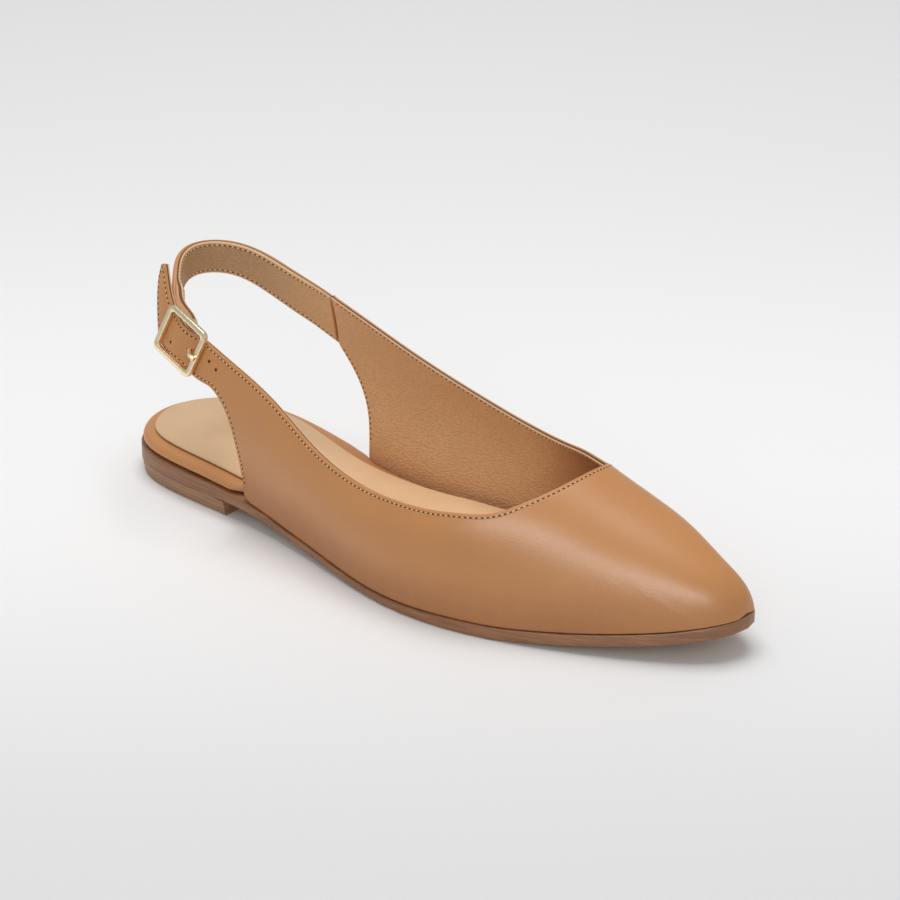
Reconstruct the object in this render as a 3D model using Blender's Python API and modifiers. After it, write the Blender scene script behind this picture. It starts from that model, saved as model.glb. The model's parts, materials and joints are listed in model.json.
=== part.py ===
"""A right slingback flat: pointed vamp, low stacked heel, sling strap and side buckle.

The shoe stands on the floor at Z = 0 with its toe towards +X and its outer side towards -Y.
Every size below is in millimetres, measured from the back of the heel along X, and the whole
shoe hangs on one empty that puts the middle of its footprint at the origin.
"""

import math

import bmesh
import bpy
import numpy as np
from mathutils import Matrix, Vector

MM = 0.001
COLLECTION = "sling_back_flat"

# Driving sizes.
LENGTH = 265.0
GAP = 0.3
UPPER_WALL = 2.0
STRAP_WALL = 3.0
INSOLE_WALL = 1.0
INSOLE_DIP = 0.6
EDGE_BEVEL = 0.6
SEAT_BEVEL = 0.1
HEEL_TAPER = 0.9
SOLE_STATIONS = 46
BREAST_X = 61.5
MIDDLE_Y = -3.5

# The sole seen from above: place along the shoe, outer edge, inner edge.
SOLE_PLAN = (
    (0, 0.5, 0.5),
    (4, -13.6, 14.6),
    (12, -22.4, 23.6),
    (30, -28.0, 29.6),
    (60, -29.4, 28.8),
    (90, -31.9, 25.6),
    (120, -37.3, 27.0),
    (150, -42.4, 32.8),
    (175, -41.6, 36.6),
    (200, -34.8, 36.0),
    (225, -23.9, 31.0),
    (245, -13.0, 25.6),
    (257, -4.2, 21.2),
    (262.5, 2.4, 17.6),
    (265, 10.8, 10.8),
)

# The sole seen from the side: place, height of its underside, thickness of its edge, top of footbed.
SOLE_PROFILE = (
    (0, 6.6, 5.0, 17.2),
    (40, 6.0, 5.2, 16.6),
    (70, 5.8, 4.2, 15.0),
    (100, 3.6, 2.6, 12.2),
    (130, 1.2, 2.6, 10.2),
    (158, 0.0, 3.4, 9.1),
    (188, 0.0, 4.4, 8.9),
    (215, 2.0, 4.3, 10.0),
    (245, 6.0, 4.5, 12.5),
    (265, 9.9, 4.9, 15.0),
)

# How far the footbed stands in from the sole's edge: place, outer side, inner side.
# It is full where it shows at the heel and makes room for the upper further on.
FOOTBED_INSET = (
    (0, 0.8, 0.8),
    (64, 0.8, 0.8),
    (69, 3.6, 0.8),
    (74, 3.6, 0.8),
    (84, 3.6, 3.6),
    (225, 4.0, 4.0),
    (253, 5.0, 5.0),
)
FOOTBED_END = 253.0
UPPER_INSET = 0.7
INSOLE_INSET = 5.4
# The sock stands further in along the inner side of the arch: place, inset.
INSOLE_INNER = ((0, 5.4), (45, 5.4), (66, 7.0), (88, 8.6), (106, 8.0), (121, 7.0), (136, 5.4), (250, 5.4))
INSOLE_END = 250.0

# The last, as the upper's outer face covers it. Place, then the side and height of the outer
# shoulder, the ridge and the inner shoulder. Behind the throat the ridge is the bare last's.
UPPER_TIP = 264.2
LAST = (
    (20, -17.0, 88, 2, 118, 20.0, 84),
    (28, -24.6, 80, 1, 116, 24.5, 80),
    (36, -28.7, 71, 0, 114, 26.0, 76),
    (46, -30.3, 65, 0, 112, 26.8, 73),
    (60, -31.0, 61, 0, 106, 27.2, 68),
    (80, -32.4, 56, 0, 98, 28.0, 61),
    (100, -34.2, 49, 0, 88, 28.6, 55),
    (120, -36.8, 43, 0, 78, 30.0, 50),
    (140, -38.8, 39.5, 1, 69, 31.8, 46),
    (160, -38.6, 40, 2, 63, 30.5, 44.5),
    (180, -34.0, 43.3, 4, 57.4, 27.2, 42.6),
    (200, -22.4, 43.9, 6, 53.0, 24.4, 39.6),
    (215, -16.2, 39.4, 7.4, 47.0, 22.8, 37.2),
    (231, -10.8, 34.4, 8.8, 40.8, 21.4, 34.0),
    (248, -3.9, 28.6, 10.0, 32.6, 18.6, 27.2),
    (257.5, 1.2, 24.2, 10.6, 26.8, 17.0, 23.6),
    (262, 4.9, 20.3, 10.8, 21.9, 15.3, 20.2),
    (UPPER_TIP, 10.8, 15.3, 10.8, 15.3, 10.8, 15.3),
)
BULGE = 1.0
BULGE_HEIGHT = 0.3
RIDGE_GIRTH = (-1.0, -0.72, -0.36, 0.0, 0.36, 0.72, 1.0)

# The upper's edges, on the last. Sides give place and height, the throat place and side.
TAB_LOWER = (
    (26.4, 87.0),
    (27.3, 81.5),
    (28.6, 76.2),
    (30.5, 70.8),
    (32.1, 66.0),
    (34.0, 62.4),
    (37.6, 60.3),
    (42.8, 58.4),
    (50.3, 55.8),
    (56.8, 54.4),
)
OUTER_REAR = ((63.4, 50.7), (68.3, 46.2), (71.5, 39.5), (72.4, 31.0), (71.8, 21.8))
OUTER_REAR_FOOT = 72.2
TAB_UPPER = (
    (28.7, 87.9),
    (31.8, 83.6),
    (34.4, 79.4),
    (37.4, 75.4),
    (41.8, 72.2),
    (47.4, 69.9),
    (54.8, 67.6),
)
OUTER_TOPLINE = (
    (71.6, 62.2),
    (94, 54.0),
    (112, 46.0),
    (132, 41.0),
    (156, 39.9),
    (169, 40.8),
    (180, 42.0),
)
THROAT = (
    (188.8, -30.5),
    (195.8, -23.0),
    (201.0, -14.0),
    (203.8, -4.0),
    (204.4, 4.6),
    (203.6, 11.2),
    (201.0, 16.6),
    (196.8, 20.2),
)
INNER_TOPLINE = (
    (190, 46.8),
    (182, 45.8),
    (172, 44.1),
    (158, 44.0),
    (141, 46.8),
    (114, 55.4),
    (88, 63.9),
    (66.4, 71.0),
)
INNER_REAR_FOOT = 85.0
INNER_REAR = ((84.2, 21.8), (80.6, 32.4), (74.0, 42.4), (66.4, 51.2))

# The upper's wall is a loft between its lower and its upper edge, with this many rows of faces.
WALL_ROWS = 10
SPAN_STEPS = 12
TOE_STEPS = 14
EDGE_SAMPLES = 400
GIRTH_SAMPLES = 81
WAIST_X = 150.0
BALL_X = 228.0
FAN_STEPS = 14
FAN_SHARE = 0.45
GIRTH_WEIGHT = 10.0
MERGE = 0.00001
SHARP = 40

# The sling strap's outer face along its top edge: place, side, height, width of the strap.
STRAP = (
    (56, 27.0, 72.9, 16.2),
    (46, 26.6, 75.6, 14.6),
    (34, 24.0, 80.2, 13.4),
    (24, 18.8, 83.5, 12.8),
    (17, 11.0, 84.8, 12.6),
    (15.2, 3.0, 85.0, 12.5),
    (17.4, -5.0, 84.4, 12.5),
    (22.2, -12.0, 82.9, 12.5),
    (28.4, -19.0, 79.3, 12.5),
    (34.6, -24.0, 75.2, 12.5),
)
STRAP_STEPS = 56
STRAP_TAPER = 28.0
TANGENT_STEP = 0.2
GROOVE_TOP = 0.1
GROOVE_AT = 0.35
GROOVE_DEEP = 0.45

# The buckle: place and height of its middle on the strap end, its slope and its frame.
BUCKLE_X = 45.2
BUCKLE_Z = 65.0
BUCKLE_SLOPE = 20.0
FRAME_LONG = 21.0
FRAME_WIDE = 19.0
FRAME_BAR = 2.1
FRAME_DEEP = 1.9
FRAME_CORNER = 2.6
FRAME_LIFT = 0.3
FRAME_BEVEL = 0.4
WINDOW_CORNER = 1.4
BAR_RADIUS = 0.8
BAR_CORNER = 1.0
CORNER_STEPS = 5
EYE_WALL = 1.2
EYE_ROOM = 0.6
SWELL = 2.2
SWELL_LONG = 8.0
SWELL_WIDE = 12.0
PRONG_RADIUS = 0.6
PRONG_ACROSS = 0.8
HOLE_PAST = 1.5
HOOK_TURN = (-60.0, -270.0)
HOOK_STEPS = 10
STRAP_STRAIGHT = 6.5
STRAP_DIP = 2.6
FOLD_LONG = 26.0
FOLD_STEP = 5.0
STRAP_TWIST = 14.0
EYE_END = 80.0

# Sizes that follow from those above. "Out" is measured from the strap end's outer face, away from the foot.
EYE_RADIUS = BAR_RADIUS + GAP + EYE_WALL
BAR_OUT = SWELL - (UPPER_WALL + EYE_ROOM + EYE_RADIUS)
HOOK_RADIUS = BAR_RADIUS + GAP + PRONG_RADIUS
PRONG_REST = FRAME_LIFT + FRAME_DEEP + GAP + PRONG_RADIUS
PRONG_TIP = FRAME_LONG / 2 - 0.4
# The slanted stretch of the prong's shank: how far ahead of the bar and how far out at its ends.
PRONG_SLANT = (
    (2.6, BAR_OUT + HOOK_RADIUS - 0.1),
    (FRAME_LONG / 2 - FRAME_BAR - 0.6, PRONG_REST - 0.2),
)

BROWN = (0.27, 0.13, 0.07)
STACK = (0.26, 0.14, 0.08)
TAN = (0.50, 0.26, 0.12)
SOCK = (0.65, 0.44, 0.25)
GOLD = (0.85, 0.66, 0.36)


def spline(places, values):
    """A curve through the rows with no break in its bend, straight at its two ends."""
    x = np.asarray(places, float)
    y = np.asarray(values, float).reshape(len(x), -1)
    step = np.diff(x)
    rows = np.eye(len(x))
    right = np.zeros_like(y)
    for i in range(1, len(x) - 1):
        rows[i, i - 1 : i + 2] = step[i - 1], 2 * (step[i - 1] + step[i]), step[i]
        right[i] = 6 * ((y[i + 1] - y[i]) / step[i] - (y[i] - y[i - 1]) / step[i - 1])
    bend = np.linalg.solve(rows, right)

    def at(q):
        q = np.clip(np.atleast_1d(np.asarray(q, float)), x[0], x[-1])
        i = np.clip(np.searchsorted(x, q) - 1, 0, len(x) - 2)
        b = ((q - x[i]) / step[i])[:, None]
        a = 1 - b
        sag = (a**3 - a) * bend[i] + (b**3 - b) * bend[i + 1]
        return a * y[i] + b * y[i + 1] + sag * step[i][:, None] ** 2 / 6

    return at


def steady(places, values, q):
    """A curve through the rows that never passes above or below them."""
    x = np.asarray(places, float)
    y = np.asarray(values, float)
    step = np.diff(x)
    slope = np.diff(y) / step
    tangent = np.concatenate((slope[:1], np.zeros(len(x) - 2), slope[-1:]))
    for i in range(1, len(x) - 1):
        if slope[i - 1] * slope[i] > 0:
            tangent[i] = 2 * slope[i - 1] * slope[i] / (slope[i - 1] + slope[i])
    q = np.clip(np.atleast_1d(np.asarray(q, float)), x[0], x[-1])
    i = np.clip(np.searchsorted(x, q) - 1, 0, len(x) - 2)
    t = (q - x[i]) / step[i]
    return (
        (1 + 2 * t) * (1 - t) ** 2 * y[i]
        + t * (1 - t) ** 2 * step[i] * tangent[i]
        + t * t * (3 - 2 * t) * y[i + 1]
        + t * t * (t - 1) * step[i] * tangent[i + 1]
    )


def turn(x):
    """The place along the shoe as an angle, so that curves come round at the heel and the toe."""
    return np.arccos(np.clip(1 - 2 * np.asarray(x, float) / LENGTH, -1, 1))


PLAN = np.array(SOLE_PLAN)
SOLE_EDGES = spline(turn(PLAN[:, 0]), PLAN[:, 1:])
PROFILE = np.array(SOLE_PROFILE)


def underside(x):
    return steady(PROFILE[:, 0], PROFILE[:, 1], x)


def sole_top(x):
    return underside(x) + steady(PROFILE[:, 0], PROFILE[:, 2], x)


def footbed_top(x):
    return steady(PROFILE[:, 0], PROFILE[:, 3], x)


def stations(count, extra=(), end=LENGTH):
    """Places along the shoe, close together at the round heel and toe, up to an end."""
    even = LENGTH / 2 * (1 - np.cos(np.linspace(0, math.pi, count + 1)))
    marked = np.unique(np.concatenate((even, extra)))
    return np.append(marked[marked < end - 1.0], end)


def edges(x, inset_outer, inset_inner):
    """The sole's outline at the places x, moved in along its own normal: outer side, inner side."""
    sides = []
    for column, inset, sign in ((0, inset_outer, -1), (1, inset_inner, 1)):
        angle = turn(x)
        ahead = np.clip(angle + 1e-3, 0, math.pi)
        behind = np.clip(angle - 1e-3, 0, math.pi)
        y = SOLE_EDGES(angle)[:, column]
        dx = -LENGTH / 2 * (np.cos(ahead) - np.cos(behind))
        dy = SOLE_EDGES(ahead)[:, column] - SOLE_EDGES(behind)[:, column]
        long = np.hypot(dx, dy)
        sides.append(np.stack((x + sign * inset * dy / long, y - sign * inset * dx / long), 1))
    return sides


def ring(x, inset_outer, inset_inner, z):
    """One closed ring of points round the sole at height z, outer side first."""
    outer, inner = edges(x, inset_outer, inset_inner)
    outer = np.column_stack((outer, z))
    inner = np.column_stack((inner, z))
    return np.concatenate((outer, inner[::-1]))


def material(name, color, roughness, metallic=0.0):
    made = bpy.data.materials.new(name)
    made.use_nodes = True
    shader = made.node_tree.nodes["Principled BSDF"]
    shader.inputs["Base Color"].default_value = (*color, 1)
    shader.inputs["Roughness"].default_value = roughness
    shader.inputs["Metallic"].default_value = metallic
    return made


def add_object(name, data, holder, finish=None):
    made = bpy.data.objects.new(name, data)
    holder.objects.link(made)
    if finish:
        data.materials.append(finish)
    return made


def mesh_from(name, points, faces):
    """A mesh of the points in millimetres, doubles merged and faces turned outwards."""
    mesh = bmesh.new()
    corners = [mesh.verts.new(Vector(point) * MM) for point in points]
    for face in faces:
        mesh.faces.new([corners[i] for i in face])
    bmesh.ops.remove_doubles(mesh, verts=mesh.verts, dist=MERGE)
    bmesh.ops.recalc_face_normals(mesh, faces=mesh.faces)
    data = bpy.data.meshes.new(name)
    mesh.to_mesh(data)
    mesh.free()
    data.shade_smooth()
    data.set_sharp_from_angle(angle=math.radians(SHARP))
    return data


def stack_of_rings(name, rings):
    """A closed plate through rings of equal count, each end filled from side to side."""
    count = len(rings[0])
    points = np.concatenate(rings)
    faces = []
    for level in range(len(rings) - 1):
        for i in range(count):
            j = (i + 1) % count
            low, high = level * count, (level + 1) * count
            faces.append((low + i, low + j, high + j, high + i))
    last = (len(rings) - 1) * count
    for i in range(count // 2 - 1):
        across = (i, i + 1, count - 2 - i, count - 1 - i)
        faces.append(across)
        faces.append([last + k for k in across[::-1]])
    return mesh_from(name, points, faces)


def make_outsole(holder, finish):
    x = stations(SOLE_STATIONS, (BREAST_X,))
    low, high = underside(x), sole_top(x)
    bevel = np.where(x < BREAST_X, SEAT_BEVEL, EDGE_BEVEL)
    rings = [
        ring(x, bevel, bevel, low),
        ring(x, 0, 0, low + bevel),
        ring(x, 0, 0, high - EDGE_BEVEL),
        ring(x, EDGE_BEVEL, EDGE_BEVEL, high),
    ]
    return add_object("outsole", stack_of_rings("outsole", rings), holder, finish)


def make_heel(holder, finish):
    x = stations(SOLE_STATIONS, end=BREAST_X)
    top = underside(x) - GAP
    floor = np.zeros_like(x)
    foot = EDGE_BEVEL + HEEL_TAPER
    rings = [
        ring(x, foot, foot, floor),
        ring(x, HEEL_TAPER, HEEL_TAPER, floor + EDGE_BEVEL),
        ring(x, 0, 0, top),
    ]
    return add_object("heel", stack_of_rings("heel", rings), holder, finish)


# The footbed's rounded rim: how far each ring stands in, and its share of the rim's height.
RIM_BEAD = ((0.9, 0.0), (0.0, 0.28), (0.0, 0.62), (0.9, 0.88), (3.0, 1.0))


def footbed_inset(x):
    table = np.array(FOOTBED_INSET)
    return [steady(table[:, 0], table[:, side], x) for side in (1, 2)]


def make_footbed(holder, finish):
    x = stations(SOLE_STATIONS, (64, 66, 69, 74, 77, 81, 84), FOOTBED_END)
    outer, inner = footbed_inset(x)
    low = sole_top(x) + GAP
    high = footbed_top(x) - INSOLE_DIP
    rings = [
        ring(x, outer + inset, inner + inset, low + share * (high - low)) for inset, share in RIM_BEAD
    ]
    return add_object("footbed", stack_of_rings("footbed", rings), holder, finish)


def make_insole(holder, finish):
    x = stations(SOLE_STATIONS, (), INSOLE_END)
    low = footbed_top(x) - INSOLE_DIP + GAP
    bevel = INSOLE_WALL / 2
    table = np.array(INSOLE_INNER)
    inner = steady(table[:, 0], table[:, 1], x)
    rings = [
        ring(x, INSOLE_INSET, inner, low),
        ring(x, INSOLE_INSET, inner, low + INSOLE_WALL - bevel),
        ring(x, INSOLE_INSET + bevel, inner + bevel, low + INSOLE_WALL),
    ]
    return add_object("insole", stack_of_rings("insole", rings), holder, finish)


LAST_ROWS = np.array(LAST)


def reach(x):
    """The place along the upper as a root, so that its curves come round at the toe."""
    return -np.sqrt(np.maximum(UPPER_TIP - np.asarray(x, float), 0))


LAST_CURVE = spline(reach(LAST_ROWS[:, 0]), LAST_ROWS[:, 1:])


def feather(x):
    """The upper's lower edge at the places x, on the sole's edge: outer side, inner side, height."""
    along = x * LENGTH / (UPPER_TIP + UPPER_INSET)
    outer, inner = edges(np.clip(along, 0, LENGTH), UPPER_INSET, UPPER_INSET)
    return outer[:, 1], inner[:, 1], sole_top(x) + GAP


def last_point(x, girth):
    """Points of the upper's outer face. Girth runs from -1, the outer lower edge, over 0, the
    ridge, to 1, the inner lower edge."""
    x, girth = np.broadcast_arrays(np.atleast_1d(x).astype(float), np.asarray(girth, float))
    outer_y, outer_z, ridge_y, ridge_z, inner_y, inner_z = LAST_CURVE(reach(x)).T
    foot_outer, foot_inner, foot_z = feather(x)
    close = np.clip((UPPER_TIP - x) / 12, 0, 1)
    swell = BULGE * np.sqrt(close)
    columns_y = (
        foot_outer,
        foot_outer + BULGE_HEIGHT * 0.5 * (outer_y - foot_outer) - swell,
        outer_y,
        ridge_y,
        inner_y,
        foot_inner + BULGE_HEIGHT * 0.5 * (inner_y - foot_inner) + swell,
        foot_inner,
    )
    columns_z = (
        foot_z,
        foot_z + BULGE_HEIGHT * (outer_z - foot_z),
        outer_z,
        ridge_z,
        inner_z,
        foot_z + BULGE_HEIGHT * (inner_z - foot_z),
        foot_z,
    )
    points = np.empty((len(x), 3))
    for i in range(len(x)):
        rows = [(columns_y[k][i], columns_z[k][i]) for k in range(len(RIDGE_GIRTH))]
        points[i, 0] = x[i]
        points[i, 1:] = spline(RIDGE_GIRTH, rows)(girth[i])[0]
    return points


def girth_at(x, side, axis, value):
    """The girth on one side of the last where the outer face has this side (axis 1) or height (2)."""
    girths = side * np.linspace(0, 1, GIRTH_SAMPLES)
    reached = last_point(np.full(GIRTH_SAMPLES, float(x)), girths)[:, axis]
    order = np.argsort(reached)
    return float(np.interp(value, reached[order], girths[order]))


def edge_path(knots, steps):
    """Points at even spacing along a smooth curve on the last, as rows of reach and girth."""
    knots = np.array(knots, float)
    knots[:, 0] = reach(knots[:, 0])

    def walked(rows):
        on_last = last_point(UPPER_TIP - rows[:, 0] ** 2, rows[:, 1])
        return np.concatenate(([0], np.cumsum(np.linalg.norm(np.diff(on_last, axis=0), axis=1))))

    along = walked(knots)
    fine = spline(along, knots)(np.linspace(0, along[-1], EDGE_SAMPLES))
    along = walked(fine)
    even = np.linspace(0, along[-1], steps + 1)
    return np.column_stack([np.interp(even, along, fine[:, k]) for k in (0, 1)])


def straight(start, end, girth, steps):
    """The lower edge between two places, as rows of reach and girth."""
    places = np.linspace(reach(start), reach(end), steps + 1)
    return np.column_stack((places, np.full(steps + 1, float(girth))))


def on_side(rows, side):
    return [(x, girth_at(x, side, 2, z)) for x, z in rows]


def throat_knots():
    knots = []
    for x, y in THROAT:
        ridge_y = LAST_CURVE(reach(x))[0, 2]
        knots.append((x, girth_at(x, -1 if y < ridge_y else 1, 1, y)))
    return knots


def upper_edges():
    """The wall's lower and upper edge, point for point, as rows of reach and girth."""
    tab_low = on_side(TAB_LOWER, -1)
    tab_high = on_side(TAB_UPPER, -1)
    outer_rear = [tab_low[-1], *on_side(OUTER_REAR, -1), (OUTER_REAR_FOOT, -1)]
    topline = on_side(OUTER_TOPLINE, -1)
    throat = throat_knots()
    inner_top = on_side(INNER_TOPLINE, 1)
    inner_rear = [(INNER_REAR_FOOT, 1), *on_side(INNER_REAR, 1)]
    whole_top = edge_path([tab_high[-1], *topline, *throat, *inner_top], EDGE_SAMPLES)

    def nearest(knot):
        gap = whole_top - (float(reach(knot[0])), knot[1])
        return int(np.argmin(gap[:, 0] ** 2 + (GIRTH_WEIGHT * gap[:, 1]) ** 2))

    def top_between(start, end, steps):
        picked = np.linspace(start, end, steps + 1)
        places = np.arange(len(whole_top))
        return np.column_stack([np.interp(picked, places, whole_top[:, k]) for k in (0, 1)])

    outer_back, outer_low = nearest(topline[2]), nearest(topline[-3])
    front, back = nearest(throat[1]), nearest(throat[-1])
    inner_low, inner_back = nearest(inner_top[-4]), nearest(inner_top[-3])
    toe_fan = np.column_stack((np.zeros(FAN_STEPS + 1), np.linspace(-1, 1, FAN_STEPS + 1)))
    lower = [
        edge_path(tab_low, SPAN_STEPS),
        edge_path(outer_rear, SPAN_STEPS),
        straight(OUTER_REAR_FOOT, WAIST_X, -1, SPAN_STEPS),
        straight(WAIST_X, BALL_X, -1, SPAN_STEPS),
        straight(BALL_X, UPPER_TIP, -1, TOE_STEPS),
        toe_fan,
        straight(UPPER_TIP, BALL_X, 1, TOE_STEPS),
        straight(BALL_X, WAIST_X, 1, SPAN_STEPS),
        straight(WAIST_X, INNER_REAR_FOOT, 1, SPAN_STEPS),
        edge_path(inner_rear, SPAN_STEPS),
    ]
    middle = (front + back) / 2
    half_fan = FAN_SHARE * (back - front) / 2
    upper = [
        edge_path(tab_high, SPAN_STEPS),
        top_between(0, outer_back, SPAN_STEPS),
        top_between(outer_back, outer_low, SPAN_STEPS),
        top_between(outer_low, front, SPAN_STEPS),
        top_between(front, middle - half_fan, TOE_STEPS),
        top_between(middle - half_fan, middle + half_fan, FAN_STEPS),
        top_between(middle + half_fan, back, TOE_STEPS),
        top_between(back, inner_low, SPAN_STEPS),
        top_between(inner_low, inner_back, SPAN_STEPS),
        top_between(inner_back, EDGE_SAMPLES, SPAN_STEPS),
    ]
    return [np.concatenate([piece[:-1] for piece in edge] + [edge[-1][-1:]]) for edge in (lower, upper)]


def make_upper(holder, cutters, finish, buckle):
    """The open wall on the last, given its thickness inwards, with the prong's hole."""
    low, high = upper_edges()
    share = np.linspace(0, 1, WALL_ROWS + 1)
    grid = low[:, None] + share[None, :, None] * (high - low)[:, None]
    rows = grid.reshape(-1, 2)
    points = last_point(UPPER_TIP - rows[:, 0] ** 2, rows[:, 1])
    points += buckle.swell(points)[:, None] * buckle.out
    mesh = bmesh.new()
    corners = [mesh.verts.new(Vector(point) * MM) for point in points]
    for i in range(len(low) - 1):
        for j in range(WALL_ROWS):
            a = i * (WALL_ROWS + 1) + j
            b = a + WALL_ROWS + 1
            mesh.faces.new((corners[a], corners[b], corners[b + 1], corners[a + 1]))
    bmesh.ops.remove_doubles(mesh, verts=mesh.verts, dist=MERGE)
    data = bpy.data.meshes.new("upper")
    mesh.to_mesh(data)
    mesh.free()
    data.shade_smooth()
    upper = add_object("upper", data, holder, finish)
    wall = upper.modifiers.new("wall", "SOLIDIFY")
    wall.thickness = UPPER_WALL * MM
    wall.offset = -1
    wall.use_even_offset = True
    inside, outside = [buckle.point(ahead, PRONG_ACROSS, out) for ahead, out in PRONG_SLANT]
    inside -= HOLE_PAST * unit(outside - inside)
    cut_rod(upper, cutters, "prong_hole", PRONG_RADIUS + GAP, inside, outside)
    return upper


def sweep(name, middles, ups, outwards, widths, walls):
    """A strap along a path, oblong with a groove in its two edges, between its leather and its lining.
    The path is rows of middles, of edge and face directions, and of sizes."""
    points = []
    for middle, up, outward, width, wall in zip(middles, ups, outwards, widths, walls):
        half, deep = width / 2, wall / 2
        cut = min(EDGE_BEVEL, deep / 2)
        edge = [
            (half - cut, deep),
            (half, deep - cut),
            (half, -GROOVE_TOP * deep),
            (half - GROOVE_DEEP, -GROOVE_AT * deep),
            (half, cut - deep),
            (half - cut, -deep),
        ]
        shape = edge + [(-a, b) for a, b in reversed(edge)]
        points += [middle + up * a + outward * b for a, b in shape]
    count = len(shape)
    faces = []
    for start in range(0, len(points) - count, count):
        for k in range(count):
            j = (k + 1) % count
            faces.append((start + k, start + j, start + count + j, start + count + k))
    end = len(points) - count
    for k in range(count // 2 - 1):
        across = (k, k + 1, count - 2 - k, count - 1 - k)
        faces.append(across)
        faces.append([end + i for i in reversed(across)])
    return mesh_from(name, points, faces)


def unit(rows):
    return rows / np.linalg.norm(rows, axis=-1, keepdims=True)


class Buckle:
    """The buckle's own axes: ahead along the strap end, across it and out from the foot."""

    def __init__(self):
        def face(x, z):
            return last_point([x], [girth_at(x, -1, 2, z)])[0]

        reach_x, reach_z = FRAME_LONG / 2, FRAME_WIDE / 4
        self.face = face(BUCKLE_X, BUCKLE_Z)
        ahead = face(BUCKLE_X + reach_x, BUCKLE_Z) - face(BUCKLE_X - reach_x, BUCKLE_Z)
        above = face(BUCKLE_X, BUCKLE_Z + reach_z) - face(BUCKLE_X, BUCKLE_Z - reach_z)
        self.out = unit(np.cross(ahead, above))
        level = unit(np.cross((0, 0, 1.0), self.out))
        level *= np.sign(level[0])
        down = np.cross(self.out, level)
        down *= -np.sign(down[2])
        slope = math.radians(BUCKLE_SLOPE)
        self.ahead = math.cos(slope) * level + math.sin(slope) * down
        self.across = math.cos(slope) * down - math.sin(slope) * level

    def point(self, ahead, across, out):
        """A point measured from the strap end's outer face at the buckle's middle."""
        return self.face + ahead * self.ahead + across * self.across + out * self.out

    def swell(self, points):
        """How far the strap end is pushed out by the bar at each of these points."""
        away = np.asarray(points) - self.face
        ahead = np.clip(np.abs(away @ self.ahead) / SWELL_LONG, 0, 1)
        across = np.clip(np.abs(away @ self.across) / SWELL_WIDE, 0, 1)
        near = np.abs(away @ self.out) < SWELL_WIDE
        return SWELL * near * (1 - ahead**2) ** 2 * (1 - across**4)

    def matrix(self, out):
        turned = Matrix((self.ahead, self.across, np.cross(self.ahead, self.across))).transposed()
        return Matrix.Translation(Vector(self.point(0, 0, out)) * MM) @ turned.to_4x4()


def rod(name, radius, start, end, holder, sides=16):
    """A straight round bar between two points, as a helper that cuts or joins."""
    start, end = Vector(start) * MM, Vector(end) * MM
    mesh = bmesh.new()
    bmesh.ops.create_cone(
        mesh,
        cap_ends=True,
        segments=sides,
        radius1=radius * MM,
        radius2=radius * MM,
        depth=(end - start).length,
    )
    data = bpy.data.meshes.new(name)
    mesh.to_mesh(data)
    mesh.free()
    made = add_object(name, data, holder)
    made.rotation_mode = "QUATERNION"
    made.rotation_quaternion = (end - start).to_track_quat("Z", "Y")
    made.location = (start + end) / 2
    made.hide_render = True
    made.display_type = "WIRE"
    return made


def cut_rod(target, cutters, name, radius, start, end):
    boolean(target, rod(name, radius, start, end, cutters), "DIFFERENCE", name)


def tube(name, points, radius, holder):
    """A round wire through the points with its ends filled."""
    curve = bpy.data.curves.new(name, "CURVE")
    curve.dimensions = "3D"
    curve.bevel_depth = radius * MM
    curve.bevel_resolution = 2
    curve.use_fill_caps = True
    line = curve.splines.new("POLY")
    line.points.add(len(points) - 1)
    for knot, point in zip(line.points, points):
        knot.co = (*(Vector(point) * MM), 1)
    return add_object(name, curve, holder)


def to_mesh(made, holder, finish=None):
    """The curve's evaluated shape as a mesh of its own, caps welded."""
    bpy.context.view_layer.update()
    graph = bpy.context.evaluated_depsgraph_get()
    data = bpy.data.meshes.new_from_object(made.evaluated_get(graph))
    name = made.name
    placed = made.matrix_world.copy()
    bpy.data.objects.remove(made)
    mesh = bmesh.new()
    mesh.from_mesh(data)
    bmesh.ops.remove_doubles(mesh, verts=mesh.verts, dist=MERGE)
    bmesh.ops.recalc_face_normals(mesh, faces=mesh.faces)
    mesh.to_mesh(data)
    mesh.free()
    data.name = name
    solid = add_object(name, data, holder, finish)
    solid.matrix_world = placed
    return solid


def rounded_corners(long, wide, radius):
    """An oblong outline with round corners, as points in its own plane."""
    points = []
    for quarter, (sx, sy) in enumerate(((1, 1), (-1, 1), (-1, -1), (1, -1))):
        middle = (sx * (long / 2 - radius), sy * (wide / 2 - radius))
        for i in range(CORNER_STEPS + 1):
            angle = math.pi / 2 * (quarter + i / CORNER_STEPS)
            points.append((middle[0] + radius * math.cos(angle), middle[1] + radius * math.sin(angle)))
    return points


def boolean(target, other, operation, name):
    made = target.modifiers.new(name, "BOOLEAN")
    made.operation = operation
    made.object = other


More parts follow.
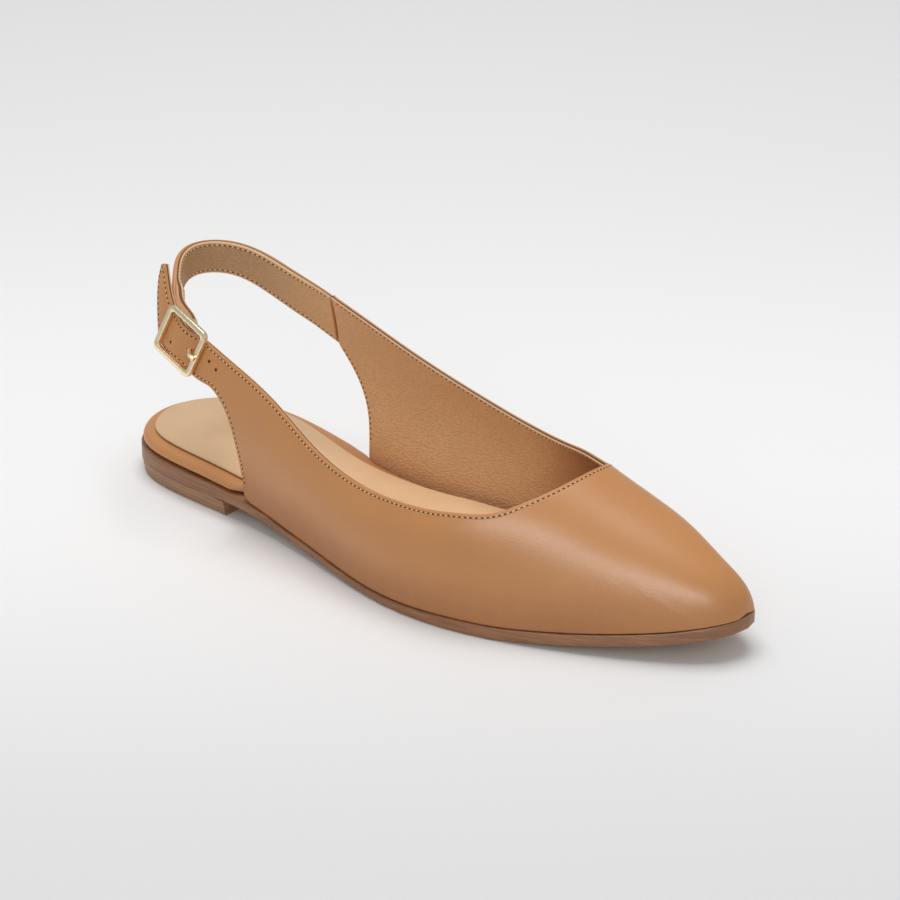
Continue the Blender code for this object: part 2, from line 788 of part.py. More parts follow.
def make_buckle(holder, cutters, finish, buckle):
    """The flat frame with round corners, and the bar that sits below it between two posts."""
    curve = bpy.data.curves.new("buckle", "CURVE")
    curve.dimensions = "2D"
    curve.fill_mode = "BOTH"
    curve.extrude = (FRAME_DEEP / 2 - FRAME_BEVEL) * MM
    curve.bevel_depth = FRAME_BEVEL * MM
    curve.bevel_resolution = 1
    curve.offset = -FRAME_BEVEL * MM
    window = (FRAME_LONG - 2 * FRAME_BAR, FRAME_WIDE - 2 * FRAME_BAR, WINDOW_CORNER)
    for long, wide, corner in ((FRAME_LONG, FRAME_WIDE, FRAME_CORNER), window):
        outline = rounded_corners(long, wide, corner)
        line = curve.splines.new("POLY")
        line.points.add(len(outline) - 1)
        line.use_cyclic_u = True
        for knot, (ahead, across) in zip(line.points, outline):
            knot.co = (ahead * MM, across * MM, 0, 1)
    frame = add_object("buckle", curve, holder)
    frame.matrix_world = buckle.matrix(FRAME_LIFT + FRAME_DEEP / 2)
    frame = to_mesh(frame, holder, finish)
    frame.data.shade_smooth()
    frame.data.set_sharp_from_angle(angle=math.radians(SHARP))
    rail = (FRAME_WIDE - FRAME_BAR) / 2
    seat = FRAME_LIFT + FRAME_DEEP / 2
    route = [(-rail, seat), (-rail, BAR_OUT + BAR_CORNER), (-rail + BAR_CORNER, BAR_OUT)]
    route += [(-across, out) for across, out in reversed(route)]
    path = [buckle.point(0, *knot) for knot in route]
    bar = to_mesh(tube("buckle_bar", path, BAR_RADIUS, cutters), cutters)
    bar.hide_render = True
    bar.display_type = "WIRE"
    boolean(frame, bar, "UNION", "bar")
    return frame


def make_prong(holder, finish, buckle):
    """The prong: a hook round the bar, then a shank through the strap end to the front bar."""
    first, last = HOOK_TURN
    knots = []
    for angle in np.radians(np.linspace(first, last, HOOK_STEPS + 1)):
        knots.append((HOOK_RADIUS * math.cos(angle), BAR_OUT + HOOK_RADIUS * math.sin(angle)))
    knots += [*PRONG_SLANT, (PRONG_SLANT[1][0] + PRONG_RADIUS, PRONG_REST), (PRONG_TIP, PRONG_REST)]
    path = [buckle.point(ahead, PRONG_ACROSS, out) for ahead, out in knots]
    prong = to_mesh(tube("buckle_prong", path, PRONG_RADIUS, holder), holder, finish)
    prong.data.shade_smooth()
    prong.data.set_sharp_from_angle(angle=math.radians(SHARP))
    return prong


def make_sling_strap(holder, cutters, finish, buckle):
    """The strap from the inner quarter's seam round the heel to the buckle's bar, doubled at its end."""
    seam_x = INNER_TOPLINE[-1][0] - GAP
    high = last_point([seam_x], [girth_at(seam_x, 1, 2, INNER_TOPLINE[-1][1])])[0]
    low = last_point([seam_x], [girth_at(seam_x, 1, 2, INNER_REAR[-1][1])])[0]
    wide = STRAP[-1][3]
    face = BAR_OUT + EYE_RADIUS
    rows = [(*high, np.linalg.norm(high - low)), *STRAP]
    ends = ((-STRAP_STRAIGHT, face - STRAP_DIP), (0, face), (EYE_RADIUS, face))
    rows += [(*buckle.point(ahead, -wide / 2, out), wide) for ahead, out in ends]
    rows = np.array(rows)
    along = np.concatenate(([0], np.cumsum(np.linalg.norm(np.diff(rows[:, :3], axis=0), axis=1))))
    curve = spline(along, rows)
    whole = along[-1]
    bar_place = whole - EYE_RADIUS
    round_end = bar_place + EYE_RADIUS * np.sin(np.linspace(0, math.radians(EYE_END), 6))
    places = np.concatenate((np.linspace(0, bar_place, STRAP_STEPS), round_end[1:]))
    fine = curve(places)
    past, short = np.minimum(places + TANGENT_STEP, whole), np.maximum(places - TANGENT_STEP, 0)
    tangents = unit((curve(past) - curve(short))[:, :3])
    outwards = unit(np.cross(tangents, (0, 0, 1.0)))
    end_share = np.clip((places - whole + STRAP_TWIST) / STRAP_TWIST, 0, 1)[:, None]
    outwards = unit((1 - end_share) * outwards + end_share * buckle.out)
    ups = np.cross(outwards, tangents)
    ups *= np.sign(ups[:, 2:])
    seam_share = np.clip(1 - places / STRAP_TWIST, 0, 1)[:, None]
    ups = unit((1 - seam_share) * ups + seam_share * unit(high - low))
    doubled = np.clip((places - bar_place + FOLD_LONG) / FOLD_STEP, 0, 1)
    doubled = doubled * doubled * (3 - 2 * doubled)
    grown = np.clip(places / STRAP_TAPER, 0, 1)
    walls = UPPER_WALL + grown * (STRAP_WALL - UPPER_WALL)
    walls += doubled * (2 * EYE_RADIUS - STRAP_WALL)
    past = np.maximum(places - bar_place, 0)
    depth = np.where(past > 0, EYE_RADIUS, walls / 2)
    walls = np.where(past > 0, 2 * np.sqrt(EYE_RADIUS**2 - past**2), walls)
    middles = fine[:, :3] - ups * fine[:, 3:] / 2 - outwards * depth[:, None]
    data = sweep("sling_strap", middles, ups, outwards, fine[:, 3], walls)
    strap = add_object("sling_strap", data, holder, finish)
    ends = [buckle.point(0, side * wide, BAR_OUT) for side in (-1, 1)]
    cut_rod(strap, cutters, "bar_hole", BAR_RADIUS + GAP, *ends)
    slot = HOOK_RADIUS + PRONG_RADIUS + GAP
    mesh = bmesh.new()
    bmesh.ops.create_cube(mesh, size=MM)
    bmesh.ops.scale(mesh, vec=(4 * slot, 2 * (PRONG_RADIUS + GAP), 4 * slot), verts=mesh.verts)
    bmesh.ops.translate(mesh, vec=Vector((slot, PRONG_ACROSS, 0)) * MM, verts=mesh.verts)
    data = bpy.data.meshes.new("prong_slot")
    mesh.to_mesh(data)
    mesh.free()
    cutter = add_object("prong_slot", data, cutters)
    cutter.matrix_world = buckle.matrix(BAR_OUT)
    cutter.hide_render = True
    cutter.display_type = "WIRE"
    boolean(strap, cutter, "DIFFERENCE", "prong_slot")
    return strap


def main():
    for old in list(bpy.data.objects):
        bpy.data.objects.remove(old)
    parts = bpy.data.collections.new(COLLECTION)
    cutters = bpy.data.collections.new("cutters")
    for group in (parts, cutters):
        bpy.context.scene.collection.children.link(group)
    cutters.hide_render = True
    tan = material("tan_leather", TAN, 0.45)
    sole = material("sole_leather", BROWN, 0.5)
    stack = material("stacked_heel", STACK, 0.55)
    sock = material("sock_leather", SOCK, 0.6)
    gold = material("gold_metal", GOLD, 0.2, 1.0)
    buckle = Buckle()
    made = [
        make_outsole(parts, sole),
        make_heel(parts, stack),
        make_footbed(parts, tan),
        make_insole(parts, sock),
        make_upper(parts, cutters, tan, buckle),
        make_sling_strap(parts, cutters, tan, buckle),
        make_buckle(parts, cutters, gold, buckle),
        make_prong(parts, gold, buckle),
    ]
    frame = bpy.data.objects.new("shoe", None)
    parts.objects.link(frame)
    frame.location = (-LENGTH / 2 * MM, -MIDDLE_Y * MM, 0)
    for piece in [*made, *cutters.objects]:
        piece.parent = frame
    bpy.context.view_layer.update()


main()
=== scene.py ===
"""The looks of the sling back flat: leather, lining, stitching, stacked sole and gold buckle.

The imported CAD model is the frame. Each operator below dresses one piece of the shoe, or a group
of like pieces, and the last one builds the studio. Sizes are in metres, with the toe towards +X,
the shoe's outer side towards -Y and the floor at Z = 0.
"""

import json
import math
from functools import wraps

import bmesh
import bpy
import numpy as np
from bpy.props import FloatProperty, FloatVectorProperty, PointerProperty
from mathutils import Matrix, Vector
from mathutils.bvhtree import BVHTree
from mathutils.kdtree import KDTree

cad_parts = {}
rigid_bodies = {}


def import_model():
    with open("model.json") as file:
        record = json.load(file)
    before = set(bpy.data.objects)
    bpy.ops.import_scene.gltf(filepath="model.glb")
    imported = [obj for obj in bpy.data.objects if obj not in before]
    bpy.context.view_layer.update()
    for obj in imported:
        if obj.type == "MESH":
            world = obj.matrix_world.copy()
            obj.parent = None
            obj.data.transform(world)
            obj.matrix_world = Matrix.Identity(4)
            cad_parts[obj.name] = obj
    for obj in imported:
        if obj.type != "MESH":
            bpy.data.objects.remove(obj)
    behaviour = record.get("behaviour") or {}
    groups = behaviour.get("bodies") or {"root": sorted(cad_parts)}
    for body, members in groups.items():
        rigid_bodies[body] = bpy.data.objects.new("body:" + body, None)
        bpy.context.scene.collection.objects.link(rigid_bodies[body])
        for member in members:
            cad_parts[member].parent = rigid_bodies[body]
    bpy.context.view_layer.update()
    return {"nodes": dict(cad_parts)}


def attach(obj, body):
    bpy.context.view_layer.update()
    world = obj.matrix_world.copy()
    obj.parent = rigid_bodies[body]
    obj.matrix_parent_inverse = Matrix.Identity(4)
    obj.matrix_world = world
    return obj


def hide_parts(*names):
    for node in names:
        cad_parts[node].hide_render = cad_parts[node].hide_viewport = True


bl_info = {
    "name": "Sling back flat",
    "version": (1, 0, 0),
    "blender": (4, 5, 0),
    "location": "View3D > Sidebar > Shoe",
    "description": "Dresses the sling back flat in leather, thread and brass",
    "category": "Object",
}

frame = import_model()

MM = 0.001
WELD = 0.01 * MM

# The turn at which one skin of a leather wall ends and its cut edge begins.
CORNER_ANGLE = math.radians(48)
# Shares of a turned edge's width: where the outer leather ends, the groove's bottom and where the
# lining begins. Then the groove's depth.
EDGE_CUTS = (0.44, 0.58, 0.7)
EDGE_GROOVE = 0.55 * MM
# The finish of each strip across the edge: 0 is leather, 1 lining, 2 lining bead and 3 groove.
EDGE_STRIPS = (0, 3, 3, 2)
# The strap end's lower edge stands out under the buckle: from where, the buckle's middle, and the
# growth at that middle and under its corners, which lie so far behind and ahead of the middle.
TAB_END_X = -74 * MM
WINDOW_MIDDLE_X = -89.7 * MM
TAB_GROWTH = (0.4 * MM, 1.9 * MM)
TAB_REACH = (5 * MM, 9 * MM)
# Where it fills the rear corner of the buckle's window, over what width, and the further growth.
TAB_CORNER = (-98.2 * MM, 2.2 * MM, 1.1 * MM)
# How sharp a leather edge stays when it is smoothed, and the turn at which it has a real corner.
EDGE_CREASE = 0.32
EDGE_CORNER = math.radians(50)

# Edges are sewn above this height, or so much higher in the front half, where the sole turns up.
# The upper's inner seam with the strap is behind this place and between these heights.
SEWN_ABOVE = 14 * MM
TOE_LIFT = 16 * MM
STRAP_SEAM_X = -64.8 * MM
STRAP_SEAM_Z = (51.6 * MM, 70.2 * MM)
SHOE_MIDDLE = Vector((0, 0, 25)) * MM

# Round the strap's section from the lining's lower corner: the finish of each strip, then the rows
# of corners that edge its outer face and its lining. Finishes are numbered as above.
STRAP_STRIPS = (2, 3, 3, 0, 0, 0, 0, 0, 3, 3, 2, 1)
STRAP_FACES = ((5, 6), (0, 11))
# The strap's sewn end lies within this of its foremost corner, and its faces are cut so many times.
STRAP_END = 1.0 * MM
STRAP_CUTS = 6
# The rows at the lips of the strap's two grooves, and how far they are drawn together.
STRAP_LIPS = ((1, 3), (8, 10))
LIP_CLOSE = 0.55

# The holes of the strap end: place along the shoe and height on its outer face, and radius. Then
# how much fatter than packed the prong is.
PUNCHED_HOLES = ((-92.2 * MM, 63.5 * MM), (-73.6 * MM, 61.0 * MM), (-69.8 * MM, 59.0 * MM))
PUNCH_RADIUS = 0.6 * MM
PRONG_HOLE = (-82.9 * MM, 62.9 * MM)
PRONG_HOLE_RADIUS = 1.15 * MM
PRONG_GROWTH = 0.32 * MM

# How far the rim's and the sole's facing edges stand out so that only a thin line parts them, and
# how far the heel's top is raised to meet the sole.
RIM_GROWTH = 0.6 * MM
SOLE_GROWTH = 0.45 * MM
HEEL_JOIN = 0.3 * MM
# Where the outer rim is full and where it is narrow as packed, and the quarter's edge that it runs
# on to.
RIM_NARROWS = (-68.6 * MM, -63.4 * MM, -61.2 * MM)
# Along the inner rim: from where to where it narrows as packed, and by how much.
INNER_NARROWS = (-58.5 * MM, -48.5 * MM)
INNER_STEP = 2.5 * MM

# The studio camera's angle round the shoe and above the floor, its aim and its distance.
CAMERA_AZIMUTH = math.radians(41)
CAMERA_ELEVATION = math.radians(25)
CAMERA_AIM = Vector((-6.7, 25.3, 28.3)) * MM
CAMERA_DISTANCE = 1.0
CAMERA_LENS = 112.0
# Painted shade on the floor, darker away from the camera and towards it: from where, to where
# and by how much.
FLOOR_SIZE = 12
FLOOR_SHADE_BEYOND = (0.05, 0.45, 0.915)
FLOOR_SHADE_BEFORE = (0.06, -0.24, 0.8)

# The darkening from the sole, partly burnish and partly painted shade: colour, height, share,
# how much less at the toe, and where along the shoe the toe begins and is full.
BURNISH_AND_SHADE = (0.33, 0.125, 0.045)
BURNISH_AND_SHADE_HEIGHT = 20 * MM
BURNISH_AND_SHADE_SHARE = 0.6
BURNISH_AND_SHADE_TOE = 0.4
TOE_REACH = (85 * MM, 125 * MM)
# Painted shade on the lining, darker in the throat towards the toe, and on it and the sock at the
# rear: the tone, and from where to where along the shoe it comes in.
LINING_THROAT_SHADE = (0.3, 0.1, 0.03)
LINING_THROAT_SHADE_REACH = (18 * MM, 62 * MM)
LINING_REAR_SHADE = (0.68, 0.68, 0.68)
LINING_REAR_SHADE_REACH = (-110 * MM, -62 * MM)
SOCK_REAR_SHADE = (0.84, 0.85, 0.87)
SOCK_REAR_SHADE_REACH = (-90 * MM, -40 * MM)
# Half the width of the trough that a seam draws into the leather.
TROUGH_HALF = 0.55 * MM

# A distance that counts as far from every seam and from the sole.
FAR = 0.1
# The step of the points that seams are measured by.
SEAM_STEP = 0.3 * MM
# How far a stitch may lie from the skin it is sewn on, and how far its thread stands up.
STITCH_REACH = 1.6 * MM
THREAD_LIFT = 0.02 * MM
# A corner on a turned edge has a way out of it longer than this, and any other has none.
ON_EDGE = 0.5

# The upward part of a direction that counts as level, as an underside and as pointing down.
LEVEL = 0.9
UNDERSIDE = -0.5
DOWNWARDS = -0.2


def colour(name, description, default):
    return FloatVectorProperty(
        name=name, description=description, subtype="COLOR", size=3, min=0, max=1, default=default
    )


def length(name, description, default):
    return FloatProperty(
        name=name,
        description=description,
        subtype="DISTANCE",
        unit="LENGTH",
        min=0,
        default=default,
    )


def share(name, description, default):
    return FloatProperty(
        name=name, description=description, subtype="FACTOR", min=0, max=1, default=default
    )


class LeatherSettings(bpy.types.PropertyGroup):
    tan: colour("Upper", "Colour of the upper's and strap's outer leather", (0.55, 0.247, 0.088))
    lining: colour("Lining", "Colour of the grained lining", (0.71, 0.42, 0.21))
    sock: colour("Sock", "Colour of the smooth insole sock", (0.8, 0.53, 0.305))
    # The bead's colour is partly its own tone and partly a painted highlight along the fold.
    bead: colour("Bead", "Colour of the lining's folded edge", (0.78, 0.5, 0.27))
    # The groove's colour is painted shade in the line between leather and lining.
    groove: colour("Groove", "Colour of the line between leather and lining", (0.16, 0.07, 0.03))
    gloss: share("Roughness", "Roughness of the outer leather", 0.38)
    pore: length("Pore", "Size of the outer leather's pores", 0.55 * MM)
    pebble: length("Pebble", "Size of the lining's pebbled grain", 1.0 * MM)


class SoleSettings(bpy.types.PropertyGroup):
    edge: colour("Edge", "Colour of the sole's burnished edge", (0.29, 0.125, 0.052))
    tread: colour("Tread", "Colour of the sole's underside", (0.4, 0.25, 0.15))
    stack: colour("Stack", "Colour of the heel's leather layers", (0.32, 0.165, 0.082))
    layer: length("Layer", "Height of one layer of the stacked heel", 1.5 * MM)


class ThreadSettings(bpy.types.PropertyGroup):
    # The thread's pale colour is a painted highlight.
    thread: colour("Thread", "Colour of the stitching thread", (0.78, 0.5, 0.28))
    # The holes' colour is painted shade.
    hole: colour("Hole", "Colour of the needle holes", (0.13, 0.05, 0.018))
    pitch: length("Pitch", "Distance from stitch to stitch", 1.95 * MM)
    inset: length("Inset", "Distance of the stitching from the edge outside", 1.4 * MM)
    lining_inset: length("Lining inset", "Distance of the stitching from the edge inside", 0.9 * MM)
    wide: length("Width", "Width of the thread", 0.42 * MM)


class BuckleSettings(bpy.types.PropertyGroup):
    gold: colour("Gold", "Colour of the buckle's polished plating", (1.0, 0.86, 0.6))
    polish: share("Roughness", "Roughness of the buckle's polish", 0.16)


class StudioSettings(bpy.types.PropertyGroup):
    floor: colour("Floor", "Colour of the studio floor", (0.888, 0.89, 0.894))
    world: FloatProperty(
        name="Surround", description="Strength of the light all round", default=0.45
    )
    key: FloatProperty(
        name="Key", description="Power of the large light overhead", default=16.2, unit="POWER"
    )
    card: FloatProperty(
        name="Gloss card", description="Power of the card seen only in gloss", default=15.0
    )


class ShoeSettings(bpy.types.PropertyGroup):
    leather: PointerProperty(type=LeatherSettings)
    sole: PointerProperty(type=SoleSettings)
    thread: PointerProperty(type=ThreadSettings)
    buckle: PointerProperty(type=BuckleSettings)
    studio: PointerProperty(type=StudioSettings)


class Value:
    """An output of a shader node that takes part in sums, so that shader maths reads as maths."""

    def __init__(self, finish, socket):
        self.finish = finish
        self.socket = socket

    def _sum(self, operation, *terms):
        return self.finish.node("ShaderNodeMath", {"operation": operation}, dict(enumerate(terms)))

    def __add__(self, other):
        return self._sum("ADD", self, other)

    __radd__ = __add__

    def __sub__(self, other):
        return self._sum("SUBTRACT", self, other)

    def __rsub__(self, other):
        return self._sum("SUBTRACT", other, self)

    def __mul__(self, other):
        return self._sum("MULTIPLY", self, other)

    __rmul__ = __mul__

    def __truediv__(self, other):
        return self._sum("DIVIDE", self, other)

    def floor(self):
        return self._sum("FLOOR", self)

    def fract(self):
        return self._sum("FRACT", self)

    def absolute(self):
        return self._sum("ABSOLUTE", self)


def rgba(value):
    return value if isinstance(value, Value) else (*value, 1)


class Finish:
    """A material and its shader nodes, laid down one call at a time."""

    def __init__(self, name):
        self.material = bpy.data.materials.new(name)
        self.material.use_nodes = True
        self.tree = self.material.node_tree
        self.shader = self.tree.nodes["Principled BSDF"]
        self.place = self.node("ShaderNodeTexCoord", {}, {}, "Object")

    def node(self, kind, settings, values, output=0):
        """A node of this kind. Its settings come first, then the values or links of its inputs."""
        made = self.tree.nodes.new(kind)
        for key, setting in settings.items():
            setattr(made, key, setting)
        for key, value in values.items():
            self.feed(made.inputs[key], value)
        return Value(self, made.outputs[output])

    def feed(self, socket, value):
        if isinstance(value, Value):
            self.tree.links.new(value.socket, socket)
        else:
            socket.default_value = value

    def set(self, **values):
        """Sets inputs of the surface shader, named in lower case with underscores."""
        for key, value in values.items():
            title = key.replace("_", " ").title().replace("Ior", "IOR")
            self.feed(self.shader.inputs[title], value)

    def mix(self, factor, first, second, blend="MIX"):
        """Two colours mixed by a factor."""
        pair = {0: factor, 6: rgba(first), 7: rgba(second)}
        return self.node("ShaderNodeMix", {"data_type": "RGBA", "blend_type": blend}, pair, 2)

    def stretched(self, stretch):
        """The place on the piece with its axes stretched, for grain that runs one way."""
        return self.node("ShaderNodeMapping", {}, {"Vector": self.place, "Scale": stretch})

    def noise(self, size, detail=3.0, rough=0.55, place=None):
        """Soft noise whose blots are about this size."""
        values = {
            "Vector": place or self.place,
            "Scale": 1 / size,
            "Detail": detail,
            "Roughness": rough,
        }
        return self.node("ShaderNodeTexNoise", {}, values)

    def cells(self, size, place=None):
        """Distance from the middles of close-packed cells of about this size."""
        values = {"Vector": place or self.place, "Scale": 1 / size}
        return self.node("ShaderNodeTexVoronoi", {"feature": "F1"}, values)

    def between(self, value, low, high):
        """0 below low, 1 above high and an even swing between them."""
        limits = {0: value, 1: low, 2: high}
        return self.node("ShaderNodeMapRange", {"interpolation_type": "SMOOTHSTEP"}, limits)

    def along(self, axis):
        """The place along one axis: 0 for X, 1 for Y and 2 for Z."""
        return self.node("ShaderNodeSeparateXYZ", {}, {0: self.place}, axis)

    def attribute(self, name):
        return self.node("ShaderNodeAttribute", {"attribute_name": name}, {}, "Fac")

    def bump(self, height, depth, strength=1.0):
        """Raises the surface by this height, as a share of the depth."""
        values = {"Height": height, "Distance": depth, "Strength": strength}
        self.set(normal=self.node("ShaderNodeBump", {}, values))


def toned_by(value, by):
    """A colour with each of its parts scaled: darker below 1, lighter above."""
    return tuple(part * by for part in value)


def settings():
    return bpy.context.scene.shoe


def laid_once(name):
    """Lays the nodes of the finish of this name when it is first asked for, and then keeps it."""

    def wrap(lay):
        @wraps(lay)
        def give():
            found = bpy.data.materials.get(name)
            if found:
                return found
            finish = Finish(name)
            lay(finish)
            return finish.material

        return give

    return wrap


@laid_once("tan leather")
def tan_leather(finish):
    """Smooth calf: fine pores, faint mottling, burnish and painted shade towards the sole, sunk
    along the seams.
    """
    own = settings().leather
    tan = tuple(own.tan)
    mottle = finish.noise(22 * MM, 2.0)
    fleck = finish.noise(2.4 * MM, 4.0)
    mottled = finish.between(mottle, 0.35, 0.65)
    toned = finish.mix(mottled, toned_by(tan, 0.985), toned_by(tan, 1.015))
    toned = finish.mix(finish.between(fleck, 0.3, 0.7) * 0.12, toned, toned_by(tan, 0.92))
    # Burnish and painted shade: the upper darkens towards the sole, less so at the toe.
    foot = finish.attribute("foot_distance")
    burnish_and_shade = 1 - finish.between(foot, 0.0, BURNISH_AND_SHADE_HEIGHT)
    ahead = finish.along(0)
    toe = finish.between(ahead, *TOE_REACH)
    toned = finish.mix(burnish_and_shade * (BURNISH_AND_SHADE_SHARE - toe * BURNISH_AND_SHADE_TOE), toned, BURNISH_AND_SHADE)
    finish.set(base_color=toned)
    wear = finish.noise(9 * MM, 3.0)
    finish.set(roughness=own.gloss + (wear - 0.5) * 0.12, specular_ior_level=0.35)
    finish.set(coat_weight=0.08, coat_roughness=0.28)
    pores = finish.cells(own.pore)
    grain = finish.noise(0.9 * MM, 5.0, 0.6)
    seam = finish.attribute("edge_distance")
    line = settings().thread.inset
    away = ((seam - line) / TROUGH_HALF).absolute()
    trough = (1 - finish.between(away, 0.0, 1.0)) * 1.6
    finish.bump(pores * 0.25 + grain * 0.5 - trough, 0.09 * MM)


@laid_once("lining leather")
def lining_leather(finish):
    """Pebbled pigskin lining with fine wrinkles that run along the foot, and painted shade in the
    throat and at the rear.
    """
    own = settings().leather
    lining = tuple(own.lining)
    stretch = finish.stretched((0.7, 1.0, 1.5))
    bend = finish.noise(2.2 * MM, 3.0, 0.6, stretch)
    pebbles = finish.cells(own.pebble, stretch)
    wrinkle = finish.noise(1.3 * MM, 4.0, 0.65, stretch)
    valley = finish.between(pebbles + wrinkle * 0.35, 0.45, 0.95)
    toned = finish.mix(valley * 0.4, toned_by(lining, 1.06), toned_by(lining, 0.72))
    mottle = finish.noise(18 * MM, 2.0)
    toned = finish.mix(finish.between(mottle, 0.35, 0.65) * 0.5, toned, toned_by(lining, 0.94))
    ahead = finish.along(0)
    # Painted shade in the throat towards the toe, then painted shade at the rear.
    throat_shade = finish.between(ahead, *LINING_THROAT_SHADE_REACH)
    toned = finish.mix(throat_shade * 0.9, toned, LINING_THROAT_SHADE)
    behind = 1 - finish.between(ahead, *LINING_REAR_SHADE_REACH)
    toned = finish.mix(behind, toned, LINING_REAR_SHADE, "MULTIPLY")
    finish.set(base_color=toned, roughness=0.56 + valley * 0.12, specular_ior_level=0.35)
    finish.bump(wrinkle * 0.8 + bend * 0.6 - valley * 0.7, 0.16 * MM)


@laid_once("sock leather")
def sock_leather(finish):
    """Pale smooth sock with a barely raised grain, faint handling marks and painted shade at the
    rear.
    """
    own = settings().leather
    sock = tuple(own.sock)
    mottle = finish.noise(30 * MM, 3.0)
    fleck = finish.noise(1.6 * MM, 4.0)
    toned = finish.mix(finish.between(mottle, 0.3, 0.7), toned_by(sock, 0.95), toned_by(sock, 1.03))
    toned = finish.mix(finish.between(fleck, 0.35, 0.75) * 0.12, toned, toned_by(sock, 0.8))
    ahead = finish.along(0)
    # Painted shade at the rear.
    behind = 1 - finish.between(ahead, *SOCK_REAR_SHADE_REACH)
    toned = finish.mix(behind, toned, SOCK_REAR_SHADE, "MULTIPLY")
    finish.set(base_color=toned, roughness=0.5 + (mottle - 0.5) * 0.1, specular_ior_level=0.35)
    grain = finish.cells(0.8 * MM)
    finish.bump(grain * 0.4 + fleck * 0.6, 0.05 * MM)


@laid_once("bead tone and highlight")
def bead_tone_and_highlight(finish):
    """The lining's folded edge, paler than the lining: partly its own tone and partly a painted
    highlight along the fold, with random flecks.
    """
    bead = tuple(settings().leather.bead)
    fleck = finish.noise(1.2 * MM, 3.0)
    finish.set(base_color=finish.mix(fleck, toned_by(bead, 0.85), bead), roughness=0.5)
    finish.bump(finish.noise(0.5 * MM, 3.0), 0.05 * MM)


@laid_once("groove shade")
def groove_shade(finish):
    """Painted shade: the dark line in the groove where leather and lining meet, and under the
    footbed's rim.
    """
    groove = tuple(settings().leather.groove)
    fleck = finish.noise(1.5 * MM, 2.0)
    toned = finish.mix(fleck, toned_by(groove, 0.7), toned_by(groove, 1.3))
    finish.set(base_color=toned, roughness=0.8)


@laid_once("sole leather")
def sole_leather(finish):
    """Burnished sole leather: fine layers along its edge, a duller worn underside."""
    own = settings().sole
    edge = tuple(own.edge)
    streak = finish.noise(1.0 * MM, 5.0, 0.6, finish.stretched((0.06, 0.06, 1.6)))
    blot = finish.noise(14 * MM, 3.0)
    toned = finish.mix(finish.between(streak, 0.3, 0.7), toned_by(edge, 0.72), toned_by(edge, 1.25))
    toned = finish.mix(finish.between(blot, 0.4, 0.7) * 0.35, toned, toned_by(edge, 0.75))
    facing = finish.node("ShaderNodeNewGeometry", {}, {}, "Normal")
    down = finish.node("ShaderNodeSeparateXYZ", {}, {0: facing}, 2)
    below = finish.between(0 - down, 0.7, 0.95)
    toned = finish.mix(below, toned, tuple(own.tread))
    finish.set(base_color=toned, roughness=0.45 + below * 0.2 + (streak - 0.5) * 0.15)
    finish.set(coat_weight=0.06, coat_roughness=0.3)
    finish.bump(streak * 0.8 + blot * 0.2, 0.09 * MM)


@laid_once("stacked leather")
def stacked_leather(finish):
    """The heel's stack: layers of leather with dark joins and a dry streaked grain."""
    own = settings().sole
    stack = tuple(own.stack)
    height = finish.along(2)
    layer = height / own.layer
    step = finish.node("ShaderNodeTexWhiteNoise", {"noise_dimensions": "1D"}, {"W": layer.floor()})
    join = (layer.fract() - 0.5).absolute()
    seam = finish.between(join, 0.4, 0.5)
    streak = finish.noise(0.9 * MM, 5.0, 0.65, finish.stretched((0.05, 0.05, 1.8)))
    toned = finish.mix(finish.between(streak, 0.3, 0.7), toned_by(stack, 0.7), toned_by(stack, 1.3))
    toned = finish.mix(step * 0.35, toned, toned_by(stack, 1.35))
    toned = finish.mix(seam * 0.35, toned, toned_by(stack, 0.5))
    finish.set(base_color=toned, roughness=0.5 + (streak - 0.5) * 0.2)
    finish.bump(streak * 0.7 - seam * 0.8, 0.12 * MM)


@laid_once("gold plate")
def gold_plate(finish):
    """Polished pale gold with hairline scratches and a little haze."""
    own = settings().buckle
    gold = tuple(own.gold)
    haze = finish.noise(3.5 * MM, 3.0)
    hair = finish.noise(0.35 * MM, 4.0, 0.6, finish.stretched((0.2, 1.0, 2.5)))
    toned = finish.mix(haze, toned_by(gold, 0.92), gold)
    finish.set(base_color=toned, metallic=1.0, roughness=own.polish + haze * 0.08 + hair * 0.05)
    finish.bump(hair, 0.008 * MM)


@laid_once("thread")
def thread_with_painted_highlight(finish):
    """Waxed thread, painted paler than the leather as a highlight, with its twist showing as fine
    ribs.
    """
    thread = tuple(settings().thread.thread)
    twist = finish.noise(0.25 * MM, 2.0)
    toned = finish.mix(twist, toned_by(thread, 0.8), toned_by(thread, 1.15))
    finish.set(base_color=toned, roughness=0.45)
    finish.bump(twist, 0.05 * MM)


@laid_once("hole shade")
def hole_shade(finish):
    """Painted shade in a needle hole or a punched hole."""
    hole = tuple(settings().thread.hole)
    toned = finish.mix(finish.noise(0.6 * MM), toned_by(hole, 0.7), hole)
    finish.set(base_color=toned, roughness=0.9, specular_ior_level=0.08)


def lay_leathers(piece):
    """Gives the piece the finishes of a leather wall, numbered from 0 in this order."""
    for finish in (tan_leather(), lining_leather(), bead_tone_and_highlight(), groove_shade()):
        piece.data.materials.append(finish)


def select_only(piece):
    """Deselects everything, then makes this piece the active and only selected one."""
    for other in bpy.context.scene.objects:
        other.select_set(False)
    piece.select_set(True)
    bpy.context.view_layer.objects.active = piece


